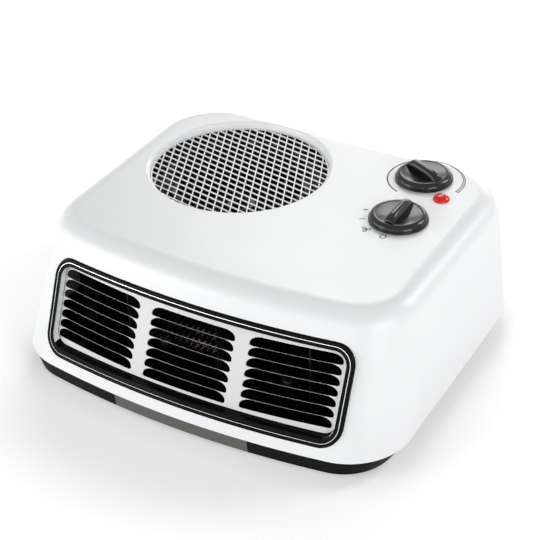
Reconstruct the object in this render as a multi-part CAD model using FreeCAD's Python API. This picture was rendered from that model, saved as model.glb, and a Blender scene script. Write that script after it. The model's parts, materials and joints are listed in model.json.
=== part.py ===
import FreeCAD
import Part
import math
import os

# Fan heater: a low household heater that draws air in through a round mesh in its top and blows it,
# warmed, out of a slotted plate in its front. Millimetres. The origin lies on the floor under the middle
# of the body, +Z is up and the outlet looks towards -Y.

V = FreeCAD.Vector
tiny = 0.01  # lengths nearer than this count as equal

# Body
body_width = 260.0  # across the cover's lower edge
body_depth = 226.0  # front to rear at the cover's lower edge
body_height = 95.0  # floor to the flat top
skirt_z = 13.5  # the cover's lower edge, where the dark base begins
wall = 2.5
side_draft = 9.0  # how far each side leans in between the lower edge and the top
rear_draft = 0.5
front_lean = 0.41  # how far the front runs back for each millimetre of height
bow_radius = 600.0  # the front's bow, seen from above
corner_front = 40.0
corner_rear = 44.0
top_round = 15.0

# Clearances
fit_gap = 0.3
run_gap = 0.05  # round a turning shaft
screw_gap = 0.1

# Base
foot_height = 3.4
floor_thick = 2.5
base_inset = 8.1  # the base's foot edge inside the cover's lower edge, at the sides and the rear
base_front_inset = 1.9
seam_step = 0.6
lip_height = 4.0
lip_wall = 2.0
foot_radius = 8.0
foot_stem = 3.0
foot_from_side = 32.0
foot_from_front = 41.0
foot_from_rear = 55.0

# Screws
screw_radius = 2.0
screw_head = 3.8
screw_head_height = 1.4
boss_radius = 5.0
boss_rear_from_side = 26.0
boss_rear_from_rear = 33.0
boss_front_from_side = 20.0
boss_front_from_front = 73.0
base_screw_grip = 16.0
post_radius = 5.5

# Outlet in the front
bezel_from_side = 27.6
bezel_above_skirt = 6.5
bezel_below_top = 16.4
bezel_corner = 13.0
bezel_proud = 2.2
bezel_overlap = 1.6  # how far the bead covers the edge of the cover's opening
bezel_rim = 4.7  # bead's outer edge to the mouth
bezel_depth = 9.0
bezel_ledge = 1.6  # the step behind the plate
bead_round = 0.9
plate_depth = 4.5  # how far the slotted plate lies behind the cover's front
plate_thick = 0.6
slot_pitch = 5.72
slot_height = 5.3
slot_round = 3.4
slot_foot_round = 0.7
slots_from_foot = 7.2  # the outlet's lower edge to the lowest slot in the middle column
slots_from_head = 11.0
slot_post = 9.8  # between two columns of slots
middle_slot_half = 27.8
slots_from_end = 8.4
side_slot_rise = 1.1
side_slot_tilt = 1.3  # degrees

# Fan and its housing
impeller_radius = 52.0
impeller_inner = 42.0
impeller_plate = 2.0
impeller_lift = 5.0  # above the motor's upper bearing
impeller_clear = 3.0  # below the inlet plate
blade_count = 30
blade_thick = 1.2
blade_bend = 3.0  # degrees that the blade has turned at half its depth
blade_sweep = 11.0  # degrees that it has turned at its tip
hub_radius = 9.0
hub_drop = 11.0  # the hub's top below the wheel's rim
scroll_gap = 5.0
scroll_wall = 2.0
scroll_from_side = 24.6  # the housing's clear space inside the cover's walls
scroll_from_rear = 9.6
inlet_plate_thick = 2.0
inlet_mouth = 46.0
mouth_wall = 2.0
mouth_rise = 4.0
tab_radius = 6.0
tab_thick = 3.0
tab_hold = 1.0  # how far a screw tab runs into the housing's wall
clip_radius = 6.0
clip_thick = 1.5

# Intake in the top, over the fan
intake_radius = 58.0
intake_round = 2.5
collar_wall = 2.2
collar_drop = 6.5  # collar's lower end below the mesh
mesh_recess = 4.5
mesh_thick = 0.8
mesh_bar = 0.7
mesh_pitch = 5.26
mesh_angle_a = 23.2  # degrees, across the first set of bars
mesh_angle_b = 78.4
mesh_rim = 0.9
ring_thick = 2.0
ring_lip = 4.5  # how far the ring stands in from the intake's wall

# Fan motor
shaft_radius = 3.0
shaft_stub = 1.0  # below the lower bearing
shaft_tip = 3.0  # above the hub's clip
motor_lift = 9.5  # the core above the base's floor
core_thick = 20.0
core_half = 30.0
core_rear = 22.0
core_front = -44.0
leg_depth = 12.0
window_half = 19.0
window_depth = 13.0
rotor_radius = 13.0
rotor_gap = 0.4
rotor_shy = 1.0  # rotor's ends inside the core's faces
bobbin_end_gap = 1.0
bobbin_wall = 1.0
bobbin_gap = 0.2
flange_thick = 1.2
winding_thick = 6.5
strap_half_width = 8.0
strap_thick = 1.5
bearing_radius = 5.0
bearing_wall = 3.0
bearing_length = 6.0
motor_screw_in = 6.0  # the motor's screws inside the core's ends

# Heating element
frame_from_end = 4.4  # the frame's ends inside the outlet's ends
frame_from_front = 47.0
frame_depth = 24.0
frame_below_outlet = 4.0
frame_short_of_outlet = 4.6
sheet = 1.0
mica_thick = 0.8
mica_spacing = 64.0
mica_margin = 2.0
ribbon_rows = 6
ribbon_fold = 2.0  # run of one fold
ribbon_swing = 8.0
ribbon_thick = 2.4  # along the fold's direction; about 0.6 across it
ribbon_height = 1.6
frame_post_x = 44.0
cutout_radius = 8.0
cutout_thick = 6.0
cutout_below_frame_top = 16.0
fuse_radius = 2.0
fuse_length = 16.0
fuse_below_cutout = 8.0

# Controls
thermostat_from_side = 61.0
thermostat_from_rear = 33.0
thermostat_angle = -27.0  # where the knob's grip points, degrees from +X
selector_from_side = 54.3
selector_from_rear = 85.0
selector_angle = -90.0
knob_radius = 18.4
knob_gap = 0.5
knob_skirt = 4.6
knob_edge_round = 3.4
knob_height = 8.6
knob_hub = 6.0
knob_shell = 1.6
knob_cap = 2.7  # above the spindle's bore
grip_width = 7.0
grip_shy = 4.6  # grip's ends inside the knob's rim
grip_round = 1.2
spindle_flat = 2.2  # spindle's axis to its flat
spindle_depth = 9.0
spindle_hole = 5.0
bracket_thick = 1.5
bracket_drop = 5.0  # below the inside of the top
bracket_edge = 2.3  # outside the lamp's hole
bracket_room = 8.0  # outside the thermostat and the switch, for the screws
bracket_rear_room = 3.0
bracket_margin = 4.0
stud_radius = 4.0
stud_screw = 1.5
stud_head = 3.0
stud_skin = 1.0  # over the end of a stud's hole
thermostat_half_x = 15.0
thermostat_half_y = 14.0
thermostat_height = 18.0
switch_half = 13.0
switch_height = 24.0
lamp_from_side = 41.0
lamp_from_rear = 51.3
lamp_radius = 5.2
lamp_dome = 3.0
lamp_stem = 4.4
lamp_holder_radius = 4.0
lamp_holder_length = 16.0

# Mains side
gland_from_side = 52.0
gland_above_lip = 3.5
gland_radius = 6.0
gland_bore = 3.8
gland_flange = 9.0
gland_flange_thick = 4.0
block_from_side = 38.0
block_from_boss = 4.0
block_half_x = 16.0
block_half_y = 7.0
block_height = 14.0
block_ways = 3
block_bore = 2.4

# Levels and places that follow from the sizes above
half_width = body_width / 2
half_depth = body_depth / 2
floor_top = foot_height + floor_thick
top_inside = body_height - wall
foot_x = half_width - foot_from_side
foot_front_y = foot_from_front - half_depth
foot_rear_y = half_depth - foot_from_rear
boss_rear_x = half_width - boss_rear_from_side
boss_rear_y = half_depth - boss_rear_from_rear
boss_front_x = half_width - boss_front_from_side
boss_front_y = boss_front_from_front - half_depth
bezel_half = half_width - bezel_from_side
bezel_low = skirt_z + bezel_above_skirt
bezel_high = body_height - bezel_below_top
slot_low_z = bezel_low + slots_from_foot
slot_rows = int((bezel_high - slots_from_head - slot_low_z) / slot_pitch)
side_slot_inner = middle_slot_half + slot_post
side_slot_outer = bezel_half - slots_from_end
mesh_top = body_height - mesh_recess
mesh_low = mesh_top - mesh_thick
collar_low = mesh_top - collar_drop
ring_low = collar_low - ring_thick
ring_inner = intake_radius - ring_lip
scroll_top = ring_low - inlet_plate_thick
scroll_radius = impeller_radius + scroll_gap
intake_x = scroll_radius + scroll_wall + scroll_from_side + wall - half_width
intake_y = half_depth - wall - scroll_from_rear - scroll_wall - scroll_radius
core_low = floor_top + motor_lift
core_high = core_low + core_thick
shaft_low = core_low - bearing_length - shaft_stub
window_rear = core_front + leg_depth + window_depth
bobbin_half = window_half - bobbin_end_gap
motor_screw_x = core_half - motor_screw_in
impeller_low = core_high + bearing_length + impeller_lift
impeller_high = scroll_top - impeller_clear
hub_top = impeller_high - hub_drop
frame_half = bezel_half - frame_from_end
frame_front = frame_from_front - half_depth
frame_rear = frame_front + frame_depth
frame_middle = frame_front + frame_depth / 2
frame_low = bezel_low - frame_below_outlet
frame_high = bezel_high - frame_short_of_outlet
cutout_z = frame_high - cutout_below_frame_top
fuse_z = cutout_z - cutout_radius - fuse_below_cutout - fuse_radius
scroll_front = frame_rear + fit_gap
thermostat_x = half_width - thermostat_from_side
thermostat_y = half_depth - thermostat_from_rear
selector_x = half_width - selector_from_side
selector_y = half_depth - selector_from_rear
lamp_x = half_width - lamp_from_side
lamp_y = half_depth - lamp_from_rear
knob_low = body_height + knob_gap
spindle_reach = knob_height - knob_cap - fit_gap
grip_reach = knob_radius - grip_shy
bracket_high = top_inside - bracket_drop
bracket_low = bracket_high - bracket_thick
bracket_left = thermostat_x - thermostat_half_x - bracket_room
bracket_right = lamp_x + lamp_stem + fit_gap + bracket_edge
bracket_front = selector_y - switch_half - bracket_room
bracket_rear = thermostat_y + thermostat_half_y + bracket_rear_room
lamp_floor = bracket_low - fit_gap
gland_x = half_width - gland_from_side
gland_z = skirt_z + lip_height + gland_above_lip + gland_flange
block_x = half_width - block_from_side
block_y = boss_rear_y - boss_radius - block_from_boss - block_half_y


def box(x0, x1, y0, y1, z0, z1):
    return Part.makeBox(x1 - x0, y1 - y0, z1 - z0, V(x0, y0, z0))


def rod(radius, z0, z1, x=0.0, y=0.0):
    return Part.makeCylinder(radius, z1 - z0, V(x, y, z0))


def tube(outer, inner, z0, z1, x=0.0, y=0.0):
    return rod(outer, z0, z1, x, y).cut(rod(inner, z0, z1, x, y))


def polygon_face(points):
    return Part.Face(Part.makePolygon(points + points[:1]))


def at(shape, x, y):
    moved = shape.copy()
    moved.translate(V(x, y, 0))
    return moved


def turned(shape, x, y, angle):
    moved = shape.copy()
    moved.rotate(V(x, y, 0), V(0, 0, 1), angle)
    return moved


def level_edges(shape, z):
    return [e for e in shape.Edges if abs(e.BoundBox.ZMin - z) < tiny and abs(e.BoundBox.ZMax - z) < tiny]


def edges_along(shape, axis, choose):
    """The straight edges of a shape that run along one axis and that choose() picks by their middle."""
    found = []
    for edge in shape.Edges:
        run = edge.lastVertex().Point - edge.firstVertex().Point
        if edge.Length > 0 and abs(run.dot(axis)) > 0.999 * edge.Length and choose(edge.CenterOfMass):
            found.append(edge)
    return found


def screw(x, y, seat, length, up):
    """A pan-head screw whose head rests on the level seat; its shank runs up or down from there."""
    if up:
        shank = rod(screw_radius, seat, seat + length)
        head = rod(screw_head, seat - screw_head_height, seat)
    else:
        shank = rod(screw_radius, seat - length, seat)
        head = rod(screw_head, seat, seat + screw_head_height)
    return at(shank.fuse(head).removeSplitter(), x, y)


def half_width_at(z):
    return half_width - side_draft * (z - skirt_z) / (body_height - skirt_z)


def rear_at(z):
    return half_depth - rear_draft * (z - skirt_z) / (body_height - skirt_z)


def front_at(z):
    return front_lean * (z - skirt_z) - half_depth


def sag(half, radius):
    return radius - math.sqrt(radius * radius - half * half)


def outline(inset, z, front_inset=None):
    """The body's level outline at one height: bowed front, straight sides and rear, all corners rounded."""
    front_inset = inset if front_inset is None else front_inset
    half = half_width_at(z) - inset
    rear = rear_at(z) - inset
    front = front_at(z) + front_inset * math.hypot(1, front_lean)
    bow = bow_radius - front_inset
    near = corner_front - inset
    far = corner_rear - inset
    bow_centre = V(0, front + bow, z)
    near_centre = V(half - near, bow_centre.y - math.sqrt((bow - near) ** 2 - (half - near) ** 2), z)
    far_centre = V(half - far, rear - far, z)
    toward = (near_centre - bow_centre).normalize()
    meets = bow_centre + toward * bow
    between = (toward + V(1, 0, 0)).normalize() * near
    slant = V(1, 1, 0).normalize() * far
    right = [Part.Arc(meets, near_centre + between, V(half, near_centre.y, z)).toShape()]
    right.append(Part.makeLine(V(half, near_centre.y, z), V(half, far_centre.y, z)))
    right.append(Part.Arc(V(half, far_centre.y, z), far_centre + slant, V(far_centre.x, rear, z)).toShape())
    left = [edge.mirror(V(0, 0, 0), V(1, 0, 0)) for edge in reversed(right)]
    back = Part.makeLine(V(far_centre.x, rear, z), V(-far_centre.x, rear, z))
    brow = Part.Arc(V(-meets.x, meets.y, z), V(0, front, z), meets).toShape()
    return Part.Wire([brow] + right + [back] + left)


def foot_outline(inset, z):
    """The base's foot edge, inset all round, at one height."""
    return outline(base_inset + inset, skirt_z, base_front_inset + inset).translated(V(0, 0, z - skirt_z))


def between_outlines(low, high):
    return Part.makeLoft([low, high], True, True)


def body_block(inset, low):
    """The body's full form, inset all round, from a low level up to its rounded top."""
    high = body_height - inset
    solid = between_outlines(outline(inset, low), outline(inset, high))
    return solid.makeFillet(top_round - inset, level_edges(solid, high))


def bowed_slab(front, rear):
    """The space between two copies of the leaning, bowed front, moved back by two distances."""
    slope = math.hypot(1, front_lean)
    radius = bow_radius * slope
    along = V(0, front_lean, 1) / slope
    foot = V(0, front_at(0), 0) + V(0, 1, -front_lean) * (radius / slope) - along * radius

    def drum(offset):
        return Part.makeCylinder(radius - offset / slope, 2 * radius, foot, along)

    return drum(front).cut(drum(rear))


def outlet_prism(inset):
    """The outlet's rounded outline, inset all round, run straight through the front."""
    half = bezel_half - inset
    solid = box(-half, half, -body_depth, 0, bezel_low + inset, bezel_high - inset)
    return solid.makeFillet(bezel_corner - inset, edges_along(solid, V(0, 1, 0), lambda p: True))


def bracket_corners():
    xs = (bracket_left + bracket_margin, bracket_right - bracket_margin)
    ys = (bracket_front + bracket_margin, bracket_rear - bracket_margin)
    return [(x, y) for x in xs for y in ys]


def boss_places():
    rear = [(s * boss_rear_x, boss_rear_y) for s in (-1, 1)]
    return rear + [(s * boss_front_x, boss_front_y) for s in (-1, 1)]


def top_cover():
    full = body_block(0, skirt_z)
    shell = full.cut(body_block(wall, skirt_z - wall))
    for x, y in boss_places():
        shell = shell.fuse(rod(boss_radius, floor_top, skirt_z, x, y))
        shell = shell.fuse(rod(boss_radius, skirt_z, body_height, x, y).common(full))
    collar = rod(intake_radius + collar_wall, collar_low, body_height, intake_x, intake_y)
    shell = shell.fuse(collar.common(full))
    for x, y in bracket_corners():
        shell = shell.fuse(rod(stud_radius, bracket_high, body_height, x, y).common(full))
    shell = shell.cut(rod(intake_radius, 0, knob_low, intake_x, intake_y))
    shell = shell.cut(at(intake_edge(), intake_x, intake_y))
    shell = shell.cut(outlet_prism(bezel_overlap - fit_gap))
    for x, y in ((thermostat_x, thermostat_y), (selector_x, selector_y)):
        shell = shell.cut(rod(spindle_hole, bracket_high, knob_low, x, y))
    shell = shell.cut(rod(lamp_stem + screw_gap, bracket_high, knob_low, lamp_x, lamp_y))
    for x, y in boss_places():
        shell = shell.cut(rod(screw_radius + screw_gap, 0, floor_top + base_screw_grip, x, y))
    for x, y in bracket_corners():
        shell = shell.cut(rod(stud_screw + screw_gap, 0, top_inside - stud_skin, x, y))
    gland = Part.makeCylinder(gland_radius + screw_gap, body_depth, V(gland_x, 0, gland_z), V(0, 1, 0))
    return shell.cut(gland).removeSplitter()


def intake_edge():
    """What the rounding takes off the intake opening's edge."""
    r = intake_radius
    z = body_height - intake_round
    bend = V(math.sqrt(0.5), 0, -math.sqrt(0.5)) * intake_round
    low = V(r, 0, z)
    brow = V(r + intake_round, 0, body_height)
    curve = Part.Arc(low, V(r + intake_round - bend.x, 0, z - bend.z), brow).toShape()
    inner = r - intake_round
    corners = [brow, V(brow.x, 0, knob_low), V(inner, 0, knob_low), V(inner, 0, z), low]
    return Part.Face(Part.Wire([curve, Part.makePolygon(corners)])).revolve(V(0, 0, 0), V(0, 0, 1), 360)


def base_pan():
    pan = between_outlines(foot_outline(0, foot_height), outline(seam_step, skirt_z))
    pan = pan.cut(between_outlines(foot_outline(wall, floor_top), outline(seam_step + wall, skirt_z)))
    pan = pan.fuse(base_lip())
    for x in (-motor_screw_x, motor_screw_x):
        pan = pan.fuse(rod(post_radius, foot_height, core_low - strap_thick, intake_x + x, intake_y))
    for x in (-frame_post_x, frame_post_x):
        pan = pan.fuse(rod(post_radius, foot_height, frame_low, x, frame_middle))
    for x, y, depth in base_holes():
        pan = pan.cut(rod(screw_radius + screw_gap, floor_top if depth else 0, frame_low, x, y))
    for x, y in foot_places():
        pan = pan.cut(rod(foot_stem + screw_gap, 0, floor_top, x, y))
    return pan.removeSplitter()


def base_lip():
    inset = wall + fit_gap
    low = skirt_z - wall
    high = skirt_z + lip_height

    def level(extra, z):
        return outline(inset + extra, skirt_z + lip_height).translated(V(0, 0, z - skirt_z - lip_height))

    outer = between_outlines(level(0, low), level(0, high))
    return outer.cut(between_outlines(level(lip_wall, low), level(lip_wall, high)))


def base_holes():
    """Screw holes in the base, and whether each one is blind and starts at the floor."""
    holes = [(x, y, False) for x, y in boss_places()]
    holes += [(intake_x + s * motor_screw_x, intake_y, True) for s in (-1, 1)]
    holes += [(s * frame_post_x, frame_middle, True) for s in (-1, 1)]
    return holes + [(x, y, False) for x, y in tab_places()]


def foot_places():
    return [(s * foot_x, y) for s in (-1, 1) for y in (foot_front_y, foot_rear_y)]


def rubber_feet():
    foot = rod(foot_radius, 0, foot_height).fuse(rod(foot_stem, 0, floor_top)).removeSplitter()
    return [at(foot, x, y) for x, y in foot_places()]


def base_screws():
    return [screw(x, y, foot_height, base_screw_grip, True) for x, y in boss_places()]


def outlet_bezel():
    bead = outlet_prism(0).common(bowed_slab(-bezel_proud, -fit_gap))
    neck = outlet_prism(bezel_overlap).common(bowed_slab(-fit_gap, bezel_depth))
    mouth = outlet_prism(bezel_rim).common(bowed_slab(-2 * bezel_proud, plate_depth + plate_thick))
    solid = bead.fuse(neck).cut(outlet_prism(bezel_rim + bezel_ledge)).cut(mouth)
    return solid.makeFillet(bead_round, [edge for edge in solid.Edges if stands_proud(edge)])


def stands_proud(edge):
    """Whether an edge lies on the bead's front, where its middle is ahead of the cover's bowed face."""
    middle = edge.CenterOfMass
    face = front_at(middle.z) + sag(abs(middle.x), bow_radius)
    return middle.y < face - (bezel_proud + fit_gap) / 2


def slot(half, middle_x, low):
    """One slot's cutter: flat below, its upper corners well rounded."""
    through = V(0, 1, 0)
    solid = box(middle_x - half, middle_x + half, -body_depth, 0, low, low + slot_height)
    upper = edges_along(solid, through, lambda p: p.z > low + slot_height / 2)
    solid = solid.makeFillet(slot_round, upper)
    lower = edges_along(solid, through, lambda p: p.z < low + tiny)
    return solid.makeFillet(slot_foot_round, lower)


def outlet_plate():
    side_half = (side_slot_outer - side_slot_inner) / 2
    side_x = (side_slot_outer + side_slot_inner) / 2
    slots = []
    for row in range(slot_rows):
        low = slot_low_z + row * slot_pitch
        slots.append(slot(middle_slot_half, 0, low))
        for side in (-1, 1):
            cutter = slot(side_half, side * side_x, low + side_slot_rise)
            cutter.rotate(V(side * side_x, 0, low + side_slot_rise), V(0, 1, 0), -side * side_slot_tilt)
            slots.append(cutter)
    pierced = outlet_prism(bezel_rim + fit_gap).cut(Part.makeCompound(slots))
    return pierced.common(bowed_slab(plate_depth, plate_depth + plate_thick))


def mesh_cells(reach):
    """The openings between two sets of slanting bars, as level faces round the origin."""
    a = math.radians(mesh_angle_a)
    b = math.radians(mesh_angle_b)
    spread = math.sin(b - a)

    def crossing(s, t):
        x = (s * math.sin(b) - t * math.sin(a)) / spread
        return V(x, (t * math.cos(a) - s * math.cos(b)) / spread, 0)

    count = int(reach / (mesh_pitch * spread)) + 1
    near = mesh_bar / 2
    far = mesh_pitch - mesh_bar / 2
    cells = []
    for i in range(-count, count):
        for j in range(-count, count):
            s = i * mesh_pitch
            t = j * mesh_pitch
            if crossing(s + mesh_pitch / 2, t + mesh_pitch / 2).Length < reach + mesh_pitch:
                corners = [(near, near), (far, near), (far, far), (near, far)]
                cells.append(polygon_face([crossing(s + p, t + q) for p, q in corners]))
    return Part.makeCompound(cells)


def disc(radius):
    return Part.Face(Part.Wire(Part.makeCircle(radius)))


def intake_mesh():
    outer = intake_radius - fit_gap
    open_radius = outer - mesh_rim
    openings = mesh_cells(open_radius).common(disc(open_radius))
    mesh = disc(outer).cut(openings).extrude(V(0, 0, mesh_thick))
    mesh.translate(V(intake_x, intake_y, mesh_low))
    return mesh


def mesh_ring():
    outer = intake_radius - fit_gap
    ring = tube(intake_radius + collar_wall, ring_inner, ring_low, collar_low)
    ring = ring.fuse(tube(outer, outer - mesh_rim, collar_low, mesh_low)).removeSplitter()
    return at(ring, intake_x, intake_y)


def lamp_lens():
    ball = (lamp_radius * lamp_radius + lamp_dome * lamp_dome) / (2 * lamp_dome)
    dome = Part.makeSphere(ball, V(0, 0, body_height + lamp_dome - ball))
    dome = dome.common(rod(lamp_radius, body_height, body_height + 2 * lamp_dome))
    return at(dome.fuse(rod(lamp_stem, lamp_floor, body_height)).removeSplitter(), lamp_x, lamp_y)


def lamp_holder():
    return rod(lamp_holder_radius, lamp_floor - lamp_holder_length, lamp_floor, lamp_x, lamp_y)


def spindle(x, y, angle):
    """A control's turning spindle, with a flat where the knob grips it."""
    low = bracket_low - spindle_depth
    high = knob_low + spindle_reach
    flat = box(spindle_flat, 2 * shaft_radius, -shaft_radius, shaft_radius, knob_low, high)
    return turned(at(rod(shaft_radius, low, high).cut(flat), x, y), x, y, angle)


def knob(x, y, angle):
    """A round knob with a rounded skirt and a domed grip bar that points along +X before it is turned."""
    skirt = rod(knob_radius, 0, knob_skirt)
    skirt = skirt.makeFillet(knob_edge_round, level_edges(skirt, knob_skirt))
    rise = knob_height - knob_skirt
    ball = (grip_reach * grip_reach + rise * rise) / (2 * rise)
    dome = Part.makeSphere(ball, V(0, 0, knob_height - ball))
    half = grip_width / 2
    grip = box(-grip_reach, grip_reach, -half, half, knob_skirt - knob_shell, knob_height).common(dome)
    crest = [e for e in grip.Edges if e.CenterOfMass.z > knob_skirt + rise / 3]
    grip = grip.makeFillet(grip_round, crest)
    bore = rod(shaft_radius + run_gap, 0, knob_height - knob_cap)
    bore = bore.cut(box(spindle_flat + run_gap, knob_hub, -knob_hub, knob_hub, 0, knob_height))
    recess = tube(knob_radius - 2 * knob_shell, knob_hub, 0, knob_skirt - knob_shell)
    solid = skirt.fuse(grip).cut(bore).cut(recess).removeSplitter()
    solid.translate(V(x, y, knob_low))
    return turned(solid, x, y, angle)


def control_body(x, y, half_x, half_y, height):
    body = box(x - half_x, x + half_x, y - half_y, y + half_y, bracket_low - height, bracket_low)
    return body.cut(rod(shaft_radius + run_gap, bracket_low - spindle_depth - fit_gap, bracket_low, x, y))


def thermostat_body():
    return control_body(thermostat_x, thermostat_y, thermostat_half_x, thermostat_half_y, thermostat_height)


def selector_switch():
    return control_body(selector_x, selector_y, switch_half, switch_half, switch_height)


def control_bracket():
    plate = box(bracket_left, bracket_right, bracket_front, bracket_rear, bracket_low, bracket_high)
    for x, y in ((thermostat_x, thermostat_y), (selector_x, selector_y)):
        plate = plate.cut(rod(spindle_hole, bracket_low, bracket_high, x, y))
    plate = plate.cut(rod(lamp_stem + fit_gap, bracket_low, bracket_high, lamp_x, lamp_y))
    for x, y in bracket_corners():
        plate = plate.cut(rod(stud_screw + screw_gap, bracket_low, bracket_high, x, y))
    for x, y in boss_places():
        plate = plate.cut(rod(boss_radius + fit_gap, bracket_low, bracket_high, x, y))
    return plate


def bracket_screws():
    screws = []
    for x, y in bracket_corners():
        shank = rod(stud_screw, bracket_low, top_inside - stud_skin - fit_gap, x, y)
        head = rod(stud_head, bracket_low - screw_head_height, bracket_low, x, y)
        screws.append(shank.fuse(head).removeSplitter())
    return screws


def scroll_face(grow):
    """The fan housing's level outline: round the fan at the left and rear, flaring to the element."""
    r = scroll_radius + grow
    left = V(intake_x - r, intake_y, 0)
    right = V(intake_x + r, intake_y, 0)
    arc = Part.Arc(left, V(intake_x, intake_y + r, 0), right).toShape()
    flare = V(frame_half + grow, scroll_front, 0)
    corner = V(intake_x - r, scroll_front, 0)
    lines = [Part.makeLine(right, flare), Part.makeLine(flare, corner), Part.makeLine(corner, left)]
    return Part.Face(Part.Wire([arc] + lines))


def scroll_prism(grow, low, high):
    solid = scroll_face(grow).extrude(V(0, 0, high - low))
    solid.translate(V(0, 0, low))
    return solid


def scroll_front_slab():
    """The space of a wall across the housing's open front."""
    return box(-body_width, body_width, scroll_front, scroll_front + scroll_wall, 0, body_height)


def tab_places():
    """Where the fan housing is screwed down: left of it, behind its right and beside its flare."""
    fan = V(intake_x, intake_y, 0)
    reach = scroll_radius + scroll_wall + tab_radius - tab_hold
    places = [fan + V(math.cos(a), math.sin(a), 0) * reach for a in (math.pi, math.pi / 6)]
    bend = fan + V(scroll_radius, 0, 0)
    run = V(frame_half, scroll_front, 0) - bend
    places.append(bend + run / 2 + V(-run.y, run.x, 0).normalize() * (tab_radius + scroll_wall - tab_hold))
    return [(place.x, place.y) for place in places]


def air_scroll():
    walls = scroll_prism(scroll_wall, floor_top, scroll_top)
    for x, y in tab_places():
        walls = walls.fuse(rod(tab_radius, floor_top, floor_top + tab_thick, x, y))
    walls = walls.cut(scroll_prism(0, floor_top, scroll_top))
    walls = walls.fuse(scroll_prism(0, floor_top, frame_low).common(scroll_front_slab()))
    for x, y in tab_places():
        walls = walls.cut(rod(screw_radius + screw_gap, floor_top, floor_top + tab_thick, x, y))
    return walls.removeSplitter()


def scroll_screws():
    return [screw(x, y, floor_top + tab_thick, tab_thick + floor_thick, False) for x, y in tab_places()]


def inlet_plate():
    plate = scroll_prism(scroll_wall, scroll_top, ring_low)
    mouth = rod(inlet_mouth + mouth_wall, scroll_top, ring_low + mouth_rise, intake_x, intake_y)
    plate = plate.fuse(mouth).cut(rod(inlet_mouth, 0, body_height, intake_x, intake_y))
    lintel = scroll_prism(-fit_gap, frame_high + fit_gap, scroll_top).common(scroll_front_slab())
    return plate.fuse(lintel).removeSplitter()


def blade():
    """One forward-curved blade, as a thin bent strip."""

    def point(radius, degrees):
        a = math.radians(degrees)
        return V(radius * math.cos(a), radius * math.sin(a), 0)

    turn = math.degrees(blade_thick / impeller_inner)
    middle = (impeller_inner + impeller_radius) / 2
    tip = impeller_radius - blade_thick / 2
    root = impeller_inner + fit_gap
    first = [point(root, 0), point(middle, blade_bend), point(tip, blade_sweep)]
    second = [point(root, turn), point(middle, blade_bend + turn), point(tip, blade_sweep + turn)]
    sides = [Part.Arc(*first).toShape(), Part.makeLine(first[2], second[2])]
    sides += [Part.Arc(*second).toShape(), Part.makeLine(second[0], first[0])]
    face = Part.Face(Part.Wire(Part.__sortEdges__(sides)))
    solid = face.extrude(V(0, 0, impeller_high - impeller_low - impeller_plate))
    solid.translate(V(0, 0, impeller_low + impeller_plate / 2))
    return solid


def impeller():
    wheel = rod(impeller_radius, impeller_low, impeller_low + impeller_plate)
    wheel = wheel.fuse(rod(hub_radius, impeller_low, hub_top))
    rim = tube(impeller_radius, impeller_inner, impeller_high - impeller_plate, impeller_high)
    blades = [turned(blade(), 0, 0, 360.0 * i / blade_count) for i in range(blade_count)]
    wheel = wheel.multiFuse([rim] + blades)
    wheel = wheel.cut(rod(shaft_radius + run_gap, 0, body_height))
    return at(wheel.removeSplitter(), intake_x, intake_y)


def shaft_clip():
    return tube(clip_radius, shaft_radius + run_gap, hub_top, hub_top + clip_thick, intake_x, intake_y)


def motor_shaft():
    return rod(shaft_radius, shaft_low, hub_top + clip_thick + shaft_tip, intake_x, intake_y)


def motor_rotor():
    low = core_low + rotor_shy
    high = core_high - rotor_shy
    return tube(rotor_radius, shaft_radius + run_gap, low, high, intake_x, intake_y)


def motor_core():
    core = box(-core_half, core_half, core_front, core_rear, core_low, core_high)
    window_front = core_front + leg_depth
    core = core.cut(box(-window_half, window_half, window_front, window_rear, core_low, core_high))
    core = core.cut(rod(rotor_radius + rotor_gap, core_low, core_high))
    for x in (-motor_screw_x, motor_screw_x):
        core = core.cut(rod(screw_radius + screw_gap, core_low, core_high, x, 0))
    return at(core, intake_x, intake_y)


def leg_box(grow, half):
    """A block round the core's wound leg, grown on four sides."""
    low = core_low - grow
    high = core_high + grow
    return box(-half, half, core_front - grow, core_front + leg_depth + grow, low, high)


def motor_bobbin():
    outer = bobbin_gap + bobbin_wall
    bobbin = leg_box(outer, bobbin_half)
    for side in (-1, 1):
        flange = leg_box(outer + winding_thick, flange_thick / 2)
        bobbin = bobbin.fuse(at(flange, side * (bobbin_half - flange_thick / 2), 0))
    return at(bobbin.cut(leg_box(bobbin_gap, bobbin_half)).removeSplitter(), intake_x, intake_y)


def motor_winding():
    inner = bobbin_gap + bobbin_wall
    half = bobbin_half - flange_thick
    winding = leg_box(inner + winding_thick - fit_gap, half).cut(leg_box(inner, half))
    return at(winding, intake_x, intake_y)


def motor_strap(seat, out):
    """A strap across the core's face that carries a bearing; out is +1 above the core and -1 below it."""
    low = min(seat, seat + out * strap_thick)
    strap = box(-core_half, core_half, -strap_half_width, strap_half_width, low, low + strap_thick)
    end = seat + out * bearing_length
    strap = strap.fuse(rod(bearing_radius + bearing_wall, min(seat, end), max(seat, end)))
    strap = strap.cut(rod(bearing_radius + run_gap, min(seat, end), max(seat, end)))
    for x in (-motor_screw_x, motor_screw_x):
        strap = strap.cut(rod(screw_radius + screw_gap, low, low + strap_thick, x, 0))
    return at(strap.removeSplitter(), intake_x, intake_y)


def motor_bearings():
    bore = shaft_radius + run_gap
    lows = (core_low - bearing_length, core_high)
    return [tube(bearing_radius, bore, low, low + bearing_length, intake_x, intake_y) for low in lows]


def motor_screws():
    seat = core_high + strap_thick
    return [screw(intake_x + s * motor_screw_x, intake_y, seat, seat - floor_top, False) for s in (-1, 1)]


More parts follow.
